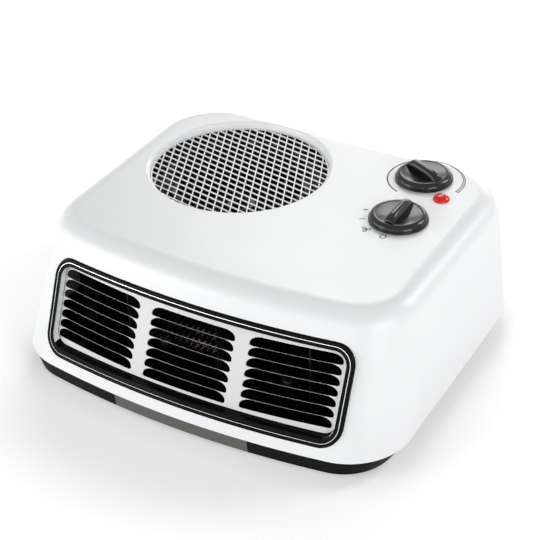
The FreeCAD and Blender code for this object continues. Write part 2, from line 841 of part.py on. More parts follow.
def element_frame():
    frame = box(-frame_half, frame_half, frame_front, frame_rear, frame_low, frame_high)
    inside = frame_half - sheet
    frame = frame.cut(box(-inside, inside, frame_front, frame_rear, frame_low + sheet, frame_high - sheet))
    for x in (-frame_post_x, frame_post_x):
        frame = frame.cut(rod(screw_radius + screw_gap, frame_low, frame_low + sheet, x, frame_middle))
    return frame


def element_screws():
    seat = frame_low + sheet
    return [screw(s * frame_post_x, frame_middle, seat, seat - floor_top, False) for s in (-1, 1)]


def ribbon_levels():
    step = (frame_high - frame_low - 2 * sheet) / ribbon_rows
    return [frame_low + sheet + step * (row + 0.5) for row in range(ribbon_rows)]


def mica_boards():
    """Upright boards that carry the heating ribbons through windows; two more close the frame's ends."""
    half = mica_thick / 2
    reach = (ribbon_swing + ribbon_thick) / 2 + fit_gap
    rise = ribbon_height / 2 + fit_gap
    low = frame_low + sheet
    board = box(-half, half, frame_front + mica_margin, frame_rear - mica_margin, low, frame_high - sheet)
    carrier = board
    for z in ribbon_levels():
        window = box(-half, half, frame_middle - reach, frame_middle + reach, z - rise, z + rise)
        carrier = carrier.cut(window)
    end = frame_half - sheet - half
    carriers = [at(carrier, x, 0) for x in (-mica_spacing, 0, mica_spacing)]
    return carriers + [at(board, x, 0) for x in (-end, end)]


def heating_ribbons():
    """Folded resistance ribbons, one along each row of windows."""
    half = frame_half - sheet - mica_thick - fit_gap
    folds = int(2 * half / ribbon_fold)
    run = 2 * half / folds

    def edge(offset):
        sides = [frame_middle + offset - ribbon_swing / 2, frame_middle + offset + ribbon_swing / 2]
        return [V(-half + i * run, sides[i % 2], 0) for i in range(folds + 1)]

    face = polygon_face(edge(-ribbon_thick / 2) + edge(ribbon_thick / 2)[::-1])
    ribbons = []
    for z in ribbon_levels():
        ribbon = face.extrude(V(0, 0, ribbon_height))
        ribbon.translate(V(0, 0, z - ribbon_height / 2))
        ribbons.append(ribbon)
    return ribbons


def thermal_cutout():
    return Part.makeCylinder(cutout_radius, cutout_thick, V(frame_half, frame_middle, cutout_z), V(1, 0, 0))


def thermal_fuse():
    start = V(frame_half + fuse_radius + fit_gap / 2, frame_middle - fuse_length / 2, fuse_z)
    return Part.makeCylinder(fuse_radius, fuse_length, start, V(0, 1, 0))


def terminal_block():
    high = floor_top + block_height
    block = box(-block_half_x, block_half_x, -block_half_y, block_half_y, floor_top, high)
    pitch = 2 * block_half_x / block_ways
    for way in range(block_ways):
        x = pitch * (way + 0.5) - block_half_x
        start = V(x, -block_half_y, (floor_top + high) / 2)
        block = block.cut(Part.makeCylinder(block_bore, 2 * block_half_y, start, V(0, 1, 0)))
    return at(block, block_x, block_y)


def cord_gland():
    def ring(radius, start, end):
        return Part.makeCylinder(radius, end - start, V(gland_x, start, gland_z), V(0, 1, 0))

    end = rear_at(gland_z)
    seat = end - wall - fit_gap
    start = seat - gland_flange_thick
    gland = ring(gland_radius, seat, end).fuse(ring(gland_flange, start, seat))
    return gland.cut(ring(gland_bore, start, end)).removeSplitter()


def write(name, shape):
    solids = shape if isinstance(shape, list) else [shape]
    solids = [solid for piece in solids for solid in piece.Solids]
    result = solids[0] if len(solids) == 1 else Part.makeCompound(solids)
    if not result.isValid():
        raise ValueError(name + " is not a valid solid")
    result.exportStep(os.path.join("parts", name + ".step"))
    print(name, len(solids), round(result.Volume), "mm3")


os.makedirs("parts", exist_ok=True)
write("top_cover", top_cover())
write("base_pan", base_pan())
write("rubber_feet", rubber_feet())
write("base_screws", base_screws())
write("outlet_bezel", outlet_bezel())
write("outlet_plate", outlet_plate())
write("intake_mesh", intake_mesh())
write("mesh_ring", mesh_ring())
write("lamp_lens", lamp_lens())
write("lamp_holder", lamp_holder())
write("thermostat_knob", knob(thermostat_x, thermostat_y, thermostat_angle))
write("thermostat_spindle", spindle(thermostat_x, thermostat_y, thermostat_angle))
write("thermostat_body", thermostat_body())
write("selector_knob", knob(selector_x, selector_y, selector_angle))
write("selector_spindle", spindle(selector_x, selector_y, selector_angle))
write("selector_switch", selector_switch())
write("control_bracket", control_bracket())
write("bracket_screws", bracket_screws())
write("air_scroll", air_scroll())
write("scroll_screws", scroll_screws())
write("inlet_plate", inlet_plate())
write("impeller", impeller())
write("shaft_clip", shaft_clip())
write("motor_shaft", motor_shaft())
write("motor_rotor", motor_rotor())
write("motor_core", motor_core())
write("motor_bobbin", motor_bobbin())
write("motor_winding", motor_winding())
write("motor_lower_strap", motor_strap(core_low, -1))
write("motor_upper_strap", motor_strap(core_high, 1))
write("motor_bearings", motor_bearings())
write("motor_screws", motor_screws())
write("element_frame", element_frame())
write("element_screws", element_screws())
write("mica_boards", mica_boards())
write("heating_ribbons", heating_ribbons())
write("thermal_cutout", thermal_cutout())
write("thermal_fuse", thermal_fuse())
write("terminal_block", terminal_block())
write("cord_gland", cord_gland())
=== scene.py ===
import json
import math

import bmesh
import bpy
from mathutils import Matrix, Vector


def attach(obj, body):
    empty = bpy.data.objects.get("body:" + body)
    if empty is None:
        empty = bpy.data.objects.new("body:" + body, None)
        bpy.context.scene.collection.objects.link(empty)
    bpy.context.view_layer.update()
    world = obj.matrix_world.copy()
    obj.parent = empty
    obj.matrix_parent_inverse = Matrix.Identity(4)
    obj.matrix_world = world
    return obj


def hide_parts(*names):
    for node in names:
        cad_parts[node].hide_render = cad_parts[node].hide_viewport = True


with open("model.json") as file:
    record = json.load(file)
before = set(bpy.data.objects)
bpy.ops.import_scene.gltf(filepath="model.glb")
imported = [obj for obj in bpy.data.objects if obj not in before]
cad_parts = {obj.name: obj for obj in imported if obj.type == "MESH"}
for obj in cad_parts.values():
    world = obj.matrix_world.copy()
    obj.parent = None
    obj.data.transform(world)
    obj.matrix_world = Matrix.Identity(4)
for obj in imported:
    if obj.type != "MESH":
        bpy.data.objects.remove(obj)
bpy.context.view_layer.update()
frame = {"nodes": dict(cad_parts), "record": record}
mm = 0.001
body = "heater_body"

# Where the photograph was taken from, fitted to the body's straight edges and circles
photo_px = 540
focal_px = 1445.222
sensor_mm = 36.0
view_azimuth = math.radians(30.241)
view_elevation = math.radians(33.769)
view_roll = math.radians(-1.401)
view_distance = 912.289 * mm
view_target = Vector((0.0, 2.2, 50.0)) * mm

# The shell's front, which leans back and is bowed across its width; the heater's sizes are in millimetres
shell_top = 95.0
skirt_height = 13.5
front_foot = -113.0
front_lean = 0.41  # how far the front goes back for each millimetre up
bow_radius = 600.0
bow_strips = 28  # what lies on the bowed front is cut into this many upright strips, so that it bends

# The outlet's black surround
bezel_width = 204.8
bezel_low = 20.0
bezel_high = 78.6
bezel_corner = 13.0
bezel_foot = 0.4  # the surround starts this far behind the shell's face
plate_depth = 4.6
plate_thick = 0.6
plate_inset = 5.6  # the surround's outer edge to the plate's

# The slots in the plate, in three columns of which the outer two slope a little
slot_rows = 7
slot_pitch = 5.85
slot_rib = 0.1
slot_upper_round = 4.2
slot_lower_round = 1.1
slot_end_stretch = 1.8  # the curves at the slots' ends are this much longer than they are high
slots_low = 27.2
slot_ends = ((-96.6, -38.0), (-29.4, 27.8), (36.8, 94.0))
side_slot_rise = 1.1
side_slot_tilt = math.radians(1.3)
slot_slant = 0.7  # the slots' walls drop this far for each millimetre that they go in

# The two controls on the top
knob_radius = 18.4
knob_gap = 0.5
knob_skirt = 4.6
knob_rise = 4.6
grip_width = 7.0
grip_reach = 13.8
thermostat_place = Vector((69.0, 80.0, 0.0))
thermostat_pointer = math.radians(-27.0)
selector_place = Vector((75.7, 28.0, 0.0))
selector_pointer = math.radians(-90.0)

# The pilot lamp's lens
lamp_place = Vector((89.0, 61.7, 0.0))
lamp_radius = 5.2
lamp_dome = 3.1
lamp_sink = 0.6

# The thermostat's printed arc, whose last part widens into a pale wedge with a dark outline
ink_thickness = 0.05
dial_place = Vector((70.2, 79.8, 0.0))
dial_radius = 24.1
dial_line = 0.95
dial_start, wedge_start, wedge_end = (math.radians(turn) for turn in (246.6, 60.0, -14.0))
fill_start, fill_end = math.radians(58.0), math.radians(-13.0)
wedge_inward, wedge_outward = 0.9, 1.7
wedge_outline = 0.4
fill_tip = 0.05

# The selector's printed signs
sign_line = 0.6
zero_place = Vector((75.7, 6.4, 0.0))
zero_width, zero_height = 4.4, 4.6
fan_place = Vector((63.2, 9.0, 0.0))
low_place = Vector((55.9, 18.6, 0.0))
low_long, low_line = 3.3, 0.7
high_place = Vector((53.1, 29.3, 0.0))
high_long, high_line = 2.8, 1.0
dash_turn = math.radians(28.0)


def linear(code):
    """A linear colour with full alpha from an sRGB hex code."""
    parts = [int(code[i:i + 2], 16) / 255 for i in (0, 2, 4)]
    return [c / 12.92 if c <= 0.04045 else ((c + 0.055) / 1.055) ** 2.4 for c in parts] + [1.0]


def per_metre(size_mm):
    """A texture scale whose features are about this large."""
    return 1 / (size_mm * mm)


def add(tree, kind, inputs=None, **settings):
    """Adds a node with its settings, and sets or links its inputs."""
    node = tree.nodes.new(kind)
    for name, value in settings.items():
        setattr(node, name, value)
    for socket, value in (inputs or {}).items():
        if isinstance(value, bpy.types.NodeSocket):
            tree.links.new(value, node.inputs[socket])
        else:
            node.inputs[socket].default_value = value
    return node


def new_finish(name):
    """A material with nothing in it yet, and its node tree."""
    material = bpy.data.materials.new(name)
    material.use_nodes = True
    material.node_tree.nodes.clear()
    return material, material.node_tree


# Sockets of the Mix node when it mixes colours
mix_factor, mix_first, mix_second, mix_result = 0, 6, 7, 2
# Nearly all of a noise texture's values lie between these two
noise_low, noise_high = 0.3, 0.7
full_white = linear("FFFFFF")


def moulded(name, colour, streak, roughness, grain_mm, grain_depth_mm, ior=1.53, specular=0.5):
    """A moulded plastic: faint flow marks in its colour and gloss, and the grain that its mould left."""
    flow_mark_mm = 60.0
    smudge_mm = 25.0
    glossier, duller = 0.94, 1.08
    material, tree = new_finish(name)
    place = add(tree, "ShaderNodeTexCoord").outputs["Object"]
    flow = add(tree, "ShaderNodeTexNoise", {"Vector": place, "Scale": per_metre(flow_mark_mm), "Detail": 1.0})
    smudge = add(tree, "ShaderNodeTexNoise", {"Vector": place, "Scale": per_metre(smudge_mm), "Detail": 1.0})
    grain = add(tree, "ShaderNodeTexNoise", {"Vector": place, "Scale": per_metre(grain_mm), "Detail": 2.0})
    shade = add(tree, "ShaderNodeMix", {mix_factor: flow.outputs[0], mix_first: linear(colour),
                                        mix_second: linear(streak)}, data_type="RGBA")
    gloss = add(tree, "ShaderNodeMapRange", {
        "Value": smudge.outputs[0], "From Min": noise_low, "From Max": noise_high,
        "To Min": roughness * glossier, "To Max": roughness * duller})
    relief = add(tree, "ShaderNodeBump", {"Height": grain.outputs[0], "Strength": 0.5,
                                          "Distance": grain_depth_mm * mm})
    shader = add(tree, "ShaderNodeBsdfPrincipled", {
        "Base Color": shade.outputs[mix_result], "Roughness": gloss.outputs[0], "Normal": relief.outputs[0],
        "IOR": ior, "Specular IOR Level": specular})
    add(tree, "ShaderNodeOutputMaterial", {"Surface": shader.outputs[0]})
    return material


# Gloss ABS out of a polished mould: bright, with a soft orange peel that only its highlights show
shell_white = moulded("gloss_white_abs", "F2F3F4", "F0F2F3", roughness=0.33, grain_mm=6.0,
                      grain_depth_mm=0.002)
# Baked white enamel on the outlet's sheet steel: a little greyer than the shell
plate_enamel = moulded("baked_white_enamel", "DFE0E0", "DBDCDC", roughness=0.34, grain_mm=6.0,
                       grain_depth_mm=0.002)
# Gloss black ABS: near black, with thin faint highlights along its rounded edges
bezel_black = moulded("gloss_black_abs", "060708", "0A0B0C", roughness=0.2, grain_mm=6.0,
                      grain_depth_mm=0.001, specular=0.06)
# Charcoal ABS between satin and gloss, so that the knobs show soft grey sheens
knob_charcoal = moulded("satin_charcoal_abs", "0B0E0F", "101415", roughness=0.18, grain_mm=6.0,
                        grain_depth_mm=0.001, specular=0.32)
# Glass-filled nylon of the fan wheel: black, with a dull sheen on its blades
fan_nylon = moulded("black_glass_filled_nylon", "1C1F21", "26292B", roughness=0.34, grain_mm=0.8,
                    grain_depth_mm=0.01)
# Flame-retardant polypropylene of the ducts: dark plastic, darkened to nearly black as painted shade for the
# inside of the heater, and matt
duct_polypropylene = moulded("dark_grey_polypropylene", "0C0D0D", "101111", roughness=0.6, grain_mm=0.9,
                             grain_depth_mm=0.02, specular=0.2)
# Urea moulding compound of the switch and thermostat: creamy, a little mottled, dull
switch_urea = moulded("cream_urea_moulding", "DDD5BF", "CFC6AE", roughness=0.42, grain_mm=1.2,
                      grain_depth_mm=0.01)
# Glazed steatite of the thermal fuse: white and glassy
fuse_ceramic = moulded("glazed_white_steatite", "EDEBE6", "E4E2DC", roughness=0.12, grain_mm=1.5,
                       grain_depth_mm=0.005, ior=1.6)
# Moulded rubber: black-grey and dusty, with no clear highlight
foot_rubber = moulded("black_moulded_rubber", "1D1D1E", "262627", roughness=0.75, grain_mm=0.7,
                      grain_depth_mm=0.03)


def base_plastic():
    """Satin black polypropylene of the base, with a painted reflection: a lighter grey strip across the
    middle of its front.
    """
    reflection_left, reflection_right = -45.0, 47.0
    reflection_foot = 3.4
    reflection_back = -100.0  # only what lies ahead of this gets the painted reflection
    spark_grain_mm = 0.8  # the mould's spark finish is about 0.1 mm and is drawn coarser so that it shows
    spark_depth_mm = 0.02
    material, tree = new_finish("satin_black_polypropylene")
    place = add(tree, "ShaderNodeTexCoord").outputs["Object"]
    axes = add(tree, "ShaderNodeSeparateXYZ", {0: place})
    across = add(tree, "ShaderNodeMath", {0: axes.outputs["X"], 1: (reflection_left + reflection_right) / 2 * mm,
                                          2: (reflection_right - reflection_left) / 2 * mm}, operation="COMPARE")
    ahead = add(tree, "ShaderNodeMath", {0: axes.outputs["Y"], 1: reflection_back * mm}, operation="LESS_THAN")
    above = add(tree, "ShaderNodeMath", {0: axes.outputs["Z"], 1: reflection_foot * mm}, operation="GREATER_THAN")
    front = add(tree, "ShaderNodeMath", {0: across.outputs[0], 1: ahead.outputs[0]}, operation="MULTIPLY")
    painted_reflection = add(tree, "ShaderNodeMath", {0: front.outputs[0], 1: above.outputs[0]}, operation="MULTIPLY")
    grain = add(tree, "ShaderNodeTexNoise", {"Vector": place, "Scale": per_metre(spark_grain_mm)})
    black = add(tree, "ShaderNodeMix", {mix_factor: grain.outputs[0], mix_first: linear("070909"),
                                        mix_second: linear("0B0D0D")}, data_type="RGBA")
    # Where the mask is set, the black gives way to a painted reflection in light grey
    shade = add(tree, "ShaderNodeMix", {mix_factor: painted_reflection.outputs[0], mix_first: black.outputs[mix_result],
                                        mix_second: linear("666762")}, data_type="RGBA")
    relief = add(tree, "ShaderNodeBump", {"Height": grain.outputs[0], "Strength": 0.4,
                                          "Distance": spark_depth_mm * mm})
    shader = add(tree, "ShaderNodeBsdfPrincipled", {
        "Base Color": shade.outputs[mix_result], "Roughness": 0.5, "Normal": relief.outputs[0], "IOR": 1.49,
        "Specular IOR Level": 0.08})
    add(tree, "ShaderNodeOutputMaterial", {"Surface": shader.outputs[0]})
    return material


base_black = base_plastic()


def metal(name, colour, other, roughness, pattern_mm, stretch=(1.0, 1.0, 1.0), relief_mm=0.004):
    """A bare or plated metal whose colour and gloss vary with the pattern that its making left."""
    glossier, duller = 0.8, 1.25
    material, tree = new_finish(name)
    place = add(tree, "ShaderNodeTexCoord").outputs["Object"]
    drawn = add(tree, "ShaderNodeMapping", {"Vector": place, "Scale": stretch})
    pattern = add(tree, "ShaderNodeTexNoise", {"Vector": drawn.outputs[0], "Scale": per_metre(pattern_mm),
                                               "Detail": 4.0})
    shade = add(tree, "ShaderNodeMix", {mix_factor: pattern.outputs[0], mix_first: linear(colour),
                                        mix_second: linear(other)}, data_type="RGBA")
    gloss = add(tree, "ShaderNodeMapRange", {
        "Value": pattern.outputs[0], "From Min": noise_low, "From Max": noise_high,
        "To Min": roughness * glossier, "To Max": roughness * duller})
    relief = add(tree, "ShaderNodeBump", {"Height": pattern.outputs[0], "Strength": 0.4,
                                          "Distance": relief_mm * mm})
    shader = add(tree, "ShaderNodeBsdfPrincipled", {
        "Base Color": shade.outputs[mix_result], "Metallic": 1.0, "Roughness": gloss.outputs[0],
        "Normal": relief.outputs[0]})
    add(tree, "ShaderNodeOutputMaterial", {"Surface": shader.outputs[0]})
    return material


# Zinc-plated steel: bright and faintly blue, with a soft barrel-plated sheen
plated_steel = metal("zinc_plated_steel", "C6C9CC", "B2B6BA", roughness=0.3, pattern_mm=1.5)
# Rolled resistance alloy: greyed by oxide, bright only where its folds catch the light
ribbon_alloy = metal("rolled_resistance_alloy", "7A736C", "544F4A", roughness=0.3, pattern_mm=3.0,
                     stretch=(1.0, 1.0, 6.0))
# Steel of the element's sheet and the fan's shaft and clip: near black, as painted shade for the dark inside
# of the heater
painted_shade_steel = metal("steel_darkened_as_painted_shade", "191817", "0E0D0D", roughness=0.5, pattern_mm=8.0)
# Sintered bronze: warm, dull, with open pores
bearing_bronze = metal("sintered_bronze", "B08D57", "8C6E42", roughness=0.5, pattern_mm=0.6, relief_mm=0.02)
# Silver foil as a painted highlight: the thin bright line in the outlet's surround, on the crown of a black
# ridge
painted_highlight_foil = metal("silver_line_painted_highlight", "EDEEEE", "E2E3E4", roughness=0.45, pattern_mm=3.0)


def galvanised_sheet():
    """Hot-dipped galvanised steel: grey, with the leafy spangle of frozen zinc."""
    spangle_mm = 5.0
    material, tree = new_finish("galvanised_steel_sheet")
    place = add(tree, "ShaderNodeTexCoord").outputs["Object"]
    spangle = add(tree, "ShaderNodeTexVoronoi", {"Vector": place, "Scale": per_metre(spangle_mm)})
    leaf = add(tree, "ShaderNodeSeparateXYZ", {0: spangle.outputs["Color"]})
    shade = add(tree, "ShaderNodeMix", {mix_factor: leaf.outputs["X"], mix_first: linear("A9AEB2"),
                                        mix_second: linear("C4C8CB")}, data_type="RGBA")
    gloss = add(tree, "ShaderNodeMapRange", {"Value": leaf.outputs["Y"], "To Min": 0.3, "To Max": 0.48})
    shader = add(tree, "ShaderNodeBsdfPrincipled", {
        "Base Color": shade.outputs[mix_result], "Metallic": 1.0, "Roughness": gloss.outputs[0]})
    add(tree, "ShaderNodeOutputMaterial", {"Surface": shader.outputs[0]})
    return material


def banded(name, light, dark, metallic, roughness, band_mm, relief_mm):
    """Stacked or wound metal: fine level bands with a dark joint between them."""
    wave_rate = 20  # a wave texture's phase, in radians, for each unit of its scaled place
    material, tree = new_finish(name)
    place = add(tree, "ShaderNodeTexCoord").outputs["Object"]
    band = add(tree, "ShaderNodeTexWave", {
        "Vector": place, "Scale": per_metre(band_mm) * math.tau / wave_rate, "Distortion": 0.3},
        wave_type="BANDS", bands_direction="Z")
    shade = add(tree, "ShaderNodeMix", {mix_factor: band.outputs[0], mix_first: linear(dark),
                                        mix_second: linear(light)}, data_type="RGBA")
    relief = add(tree, "ShaderNodeBump", {"Height": band.outputs[0], "Strength": 0.7,
                                          "Distance": relief_mm * mm})
    shader = add(tree, "ShaderNodeBsdfPrincipled", {
        "Base Color": shade.outputs[mix_result], "Metallic": metallic, "Roughness": roughness,
        "Normal": relief.outputs[0]})
    add(tree, "ShaderNodeOutputMaterial", {"Surface": shader.outputs[0]})
    return material


zinc_sheet = galvanised_sheet()
# Silicon-steel laminations 0.5 mm thick, drawn twice as thick so that the stack shows
core_steel = banded("silicon_steel_laminations", "8B8E92", "4A4C4F", metallic=1.0, roughness=0.45,
                    band_mm=1.0, relief_mm=0.05)
# Enamelled copper wire of 0.25 mm, drawn coarser so that the turns show
coil_copper = banded("enamelled_copper_wire", "B8683A", "6E3517", metallic=0.8, roughness=0.28,
                     band_mm=0.8, relief_mm=0.12)


def mica_sheet():
    """Pressed mica, dark brown to near black as painted shade for the inside of the heater, with glinting
    flakes.
    """
    flake_mm = 2.2
    material, tree = new_finish("pressed_mica_sheet")
    place = add(tree, "ShaderNodeTexCoord").outputs["Object"]
    flake = add(tree, "ShaderNodeTexVoronoi", {"Vector": place, "Scale": per_metre(flake_mm)})
    leaf = add(tree, "ShaderNodeSeparateXYZ", {0: flake.outputs["Color"]})
    shade = add(tree, "ShaderNodeMix", {mix_factor: leaf.outputs["X"], mix_first: linear("12100E"),
                                        mix_second: linear("1C1915")}, data_type="RGBA")
    gloss = add(tree, "ShaderNodeMapRange", {"Value": leaf.outputs["Y"], "To Min": 0.22, "To Max": 0.5})
    shader = add(tree, "ShaderNodeBsdfPrincipled", {
        "Base Color": shade.outputs[mix_result], "Roughness": gloss.outputs[0], "IOR": 1.58})
    add(tree, "ShaderNodeOutputMaterial", {"Surface": shader.outputs[0]})
    return material


def lamp_polycarbonate():
    """Red-tinted polycarbonate: deep red with a glassy skin, and a faint prism grain under it."""
    prism_mm = 1.1
    glow_depth_mm = 2.0
    red_light_reach = (1.0, 0.2, 0.1)
    material, tree = new_finish("red_polycarbonate")
    place = add(tree, "ShaderNodeTexCoord").outputs["Object"]
    prism = add(tree, "ShaderNodeTexVoronoi", {"Vector": place, "Scale": per_metre(prism_mm)})
    shade = add(tree, "ShaderNodeMix", {mix_factor: prism.outputs["Distance"], mix_first: linear("EC120E"),
                                        mix_second: linear("DD0D0A")}, data_type="RGBA")
    shader = add(tree, "ShaderNodeBsdfPrincipled", {
        "Base Color": shade.outputs[mix_result], "Roughness": 0.05, "IOR": 1.58, "Specular IOR Level": 0.25,
        "Subsurface Weight": 0.25, "Subsurface Radius": red_light_reach,
        "Subsurface Scale": glow_depth_mm * mm})
    add(tree, "ShaderNodeOutputMaterial", {"Surface": shader.outputs[0]})
    return material


def print_ink(name, colour):
    """Pad-printing ink: flat and matt, a little uneven where the pad lifted."""
    lift_mm = 0.6
    material, tree = new_finish(name)
    place = add(tree, "ShaderNodeTexCoord").outputs["Object"]
    lift = add(tree, "ShaderNodeTexNoise", {"Vector": place, "Scale": per_metre(lift_mm)})
    gloss = add(tree, "ShaderNodeMapRange", {"Value": lift.outputs[0], "To Min": 0.45, "To Max": 0.65})
    shader = add(tree, "ShaderNodeBsdfPrincipled", {
        "Base Color": linear(colour), "Roughness": gloss.outputs[0]})
    add(tree, "ShaderNodeOutputMaterial", {"Surface": shader.outputs[0]})
    return material


mica = mica_sheet()
lamp_red = lamp_polycarbonate()
ink_dark = print_ink("dark_grey_print", "1E2123")
ink_pale = print_ink("pale_grey_print", "C3C5C6")

finish_of_slot = {
    "shell_white": shell_white, "mesh_white": shell_white, "base_black": base_black,
    "trim_black": bezel_black, "knob_black": knob_charcoal, "lamp_red": lamp_red, "foot_rubber": foot_rubber,
    "screw_steel": plated_steel, "duct_grey": duct_polypropylene, "fan_grey": fan_nylon,
    "switch_cream": switch_urea, "zinc_sheet": zinc_sheet, "core_steel": core_steel,
    "winding_copper": coil_copper, "bearing_bronze": bearing_bronze, "mica_board": mica,
    "element_alloy": ribbon_alloy, "fuse_white": fuse_ceramic,
}
# These parts are near black as painted shade, unlike the rest of their slot
finish_of_node = {"element_frame": painted_shade_steel, "shaft_clip": painted_shade_steel, "motor_shaft": painted_shade_steel}
for part in frame["record"]["subparts"]:
    node = frame["nodes"][part["node"]]
    node.data.materials.clear()
    node.data.materials.append(finish_of_node.get(part["node"], finish_of_slot[part["material_slot"]]))


def finished_piece(name, bm, finishes, rides=body, stands_for=()):
    """Makes a shaped mesh a piece that rides on a body, with its faces outwards and its creases sharp."""
    crease = math.radians(35)
    weld = 0.001 * mm
    bmesh.ops.remove_doubles(bm, verts=bm.verts[:], dist=weld)
    bmesh.ops.recalc_face_normals(bm, faces=bm.faces[:])
    for face in bm.faces:
        face.smooth = True
    mesh = bpy.data.meshes.new(name)
    bm.to_mesh(mesh)
    bm.free()
    mesh.set_sharp_from_angle(angle=crease)
    for finish in finishes:
        mesh.materials.append(finish)
    piece = bpy.data.objects.new(name, mesh)
    bpy.context.scene.collection.objects.link(piece)
    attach(piece, rides)
    if stands_for:
        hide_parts(*stands_for)
    return piece


def on_front(across, up, proud):
    """A place on the shell's front, in metres, standing this far ahead of it."""
    sag = bow_radius - math.sqrt(bow_radius ** 2 - across ** 2)
    depth = front_foot + front_lean * (up - skirt_height) + sag
    return Vector((across, depth - proud, up)) * mm


def cut_for_bow(bm):
    """Cuts a flat shape, as wide as the surround, into the upright strips that let it bend with the front."""
    for i in range(1, bow_strips):
        cut = (i / bow_strips - 0.5) * bezel_width
        bmesh.ops.bisect_plane(bm, geom=bm.verts[:] + bm.edges[:] + bm.faces[:], plane_co=(cut, 0, 0),
                               plane_no=(1, 0, 0))


def shape_bezel():
    """The surround: a rounded bead, a groove, a thin bright line painted as a highlight and the inner wall
    down to the plate.
    """
    black, bright, pale = 0, 1, 2
    bm = bmesh.new()
    height = bezel_high - bezel_low
    middle = Matrix.Translation((0, (bezel_low + bezel_high) / 2, -bezel_foot))
    bmesh.ops.create_grid(bm, x_segments=1, y_segments=1, size=0.5,
                          matrix=middle @ Matrix.Diagonal((bezel_width, height, 1, 1)))
    bmesh.ops.bevel(bm, geom=bm.verts[:], affect="VERTICES", offset=bezel_corner, segments=14, profile=0.5,
                    material=-1)
    mouth = bm.faces[:]

    def step(inward, rise, finish=black):
        bm.normal_update()
        ring = bmesh.ops.inset_region(bm, faces=mouth, thickness=inward, depth=rise, use_even_offset=True,
                                      use_boundary=True)
        for face in ring["faces"]:
            face.material_index = finish
        return ring["faces"]

    # The bead rises, rounds over and drops into the groove
    step(inward=0.15, rise=0.9)
    step(inward=0.3, rise=0.45)
    step(inward=0.55, rise=0.15)
    step(inward=0.55, rise=0.0)
    step(inward=0.45, rise=-0.2)
    step(inward=0.2, rise=-0.5)
    step(inward=0.1, rise=0.0)
    # The bright line is the crown of a low ridge, coloured silver as a painted highlight
    step(inward=0.05, rise=0.3)
    step(inward=0.26, rise=0.05, finish=bright)
    step(inward=0.05, rise=-0.35)
    # A ledge leads to the wall, whose two ends are as pale as the shell
    step(inward=2.3, rise=-0.15)
    wall = step(inward=0.15, rise=-0.3 - plate_depth)
    for face in wall:
        face.normal_update()
        if abs(face.normal.x) > abs(face.normal.y):
            face.material_index = pale
    bmesh.ops.delete(bm, geom=mouth, context="FACES_ONLY")
    bmesh.ops.bridge_loops(bm, edges=[e for e in bm.edges if e.is_boundary])
    cut_for_bow(bm)
    for vert in bm.verts:
        vert.co = on_front(*vert.co)
    return bm


def shape_grille():
    """The plate in the outlet, whose slots slant down inwards, so that only thin ribs show between them."""
    bm = bmesh.new()

    def window(width, height, place, upper_round, lower_round, stretch=1.0):
        before = set(bm.verts)
        made = bmesh.ops.create_grid(bm, x_segments=1, y_segments=1, size=0.5,
                                     matrix=Matrix.Diagonal((width / stretch, height, 1, 1)))
        corners = sorted(made["verts"], key=lambda v: v.co.y)
        for pair, reach in ((corners[:2], lower_round), (corners[2:], upper_round)):
            bmesh.ops.bevel(bm, geom=pair, affect="VERTICES", offset=reach, segments=8, profile=0.5,
                            material=-1)
        bmesh.ops.transform(bm, matrix=place @ Matrix.Diagonal((stretch, 1, 1, 1)),
                            verts=[v for v in bm.verts if v not in before])

    height = bezel_high - bezel_low - 2 * plate_inset
    corner = bezel_corner - plate_inset
    window(bezel_width - 2 * plate_inset, height, Matrix.Translation((0, (bezel_low + bezel_high) / 2, 0)),
           corner, corner)
    opening = slot_pitch - slot_rib
    for row in range(slot_rows):
        low = slots_low + row * slot_pitch
        for side, (left, right) in zip((-1, 0, 1), slot_ends):
            foot = Matrix.Translation(((left + right) / 2, low + abs(side) * side_slot_rise, 0))
            tilt = Matrix.Rotation(side * side_slot_tilt, 4, "Z")
            place = foot @ tilt @ Matrix.Translation((0, opening / 2, 0))
            window(right - left, opening, place, slot_upper_round, slot_lower_round, slot_end_stretch)
    bmesh.ops.delete(bm, geom=bm.faces[:], context="FACES_ONLY")
    bmesh.ops.triangle_fill(bm, edges=bm.edges[:], use_beauty=True, normal=(0, 0, 1))
    cut_for_bow(bm)
    for vert in bm.verts:
        vert.co = on_front(vert.co.x, vert.co.y, -plate_depth)
    back = bmesh.ops.extrude_face_region(bm, geom=bm.faces[:])
    deeper = [v for v in back["geom"] if isinstance(v, bmesh.types.BMVert)]
    bmesh.ops.translate(bm, verts=deeper, vec=Vector((0, plate_thick, -slot_slant * plate_thick)) * mm)
    return bm


finished_piece("outlet_grille", shape_grille(), [plate_enamel], stands_for=["outlet_plate"])
finished_piece("outlet_surround", shape_bezel(), [bezel_black, painted_highlight_foil, shell_white],
               stands_for=["outlet_bezel"])


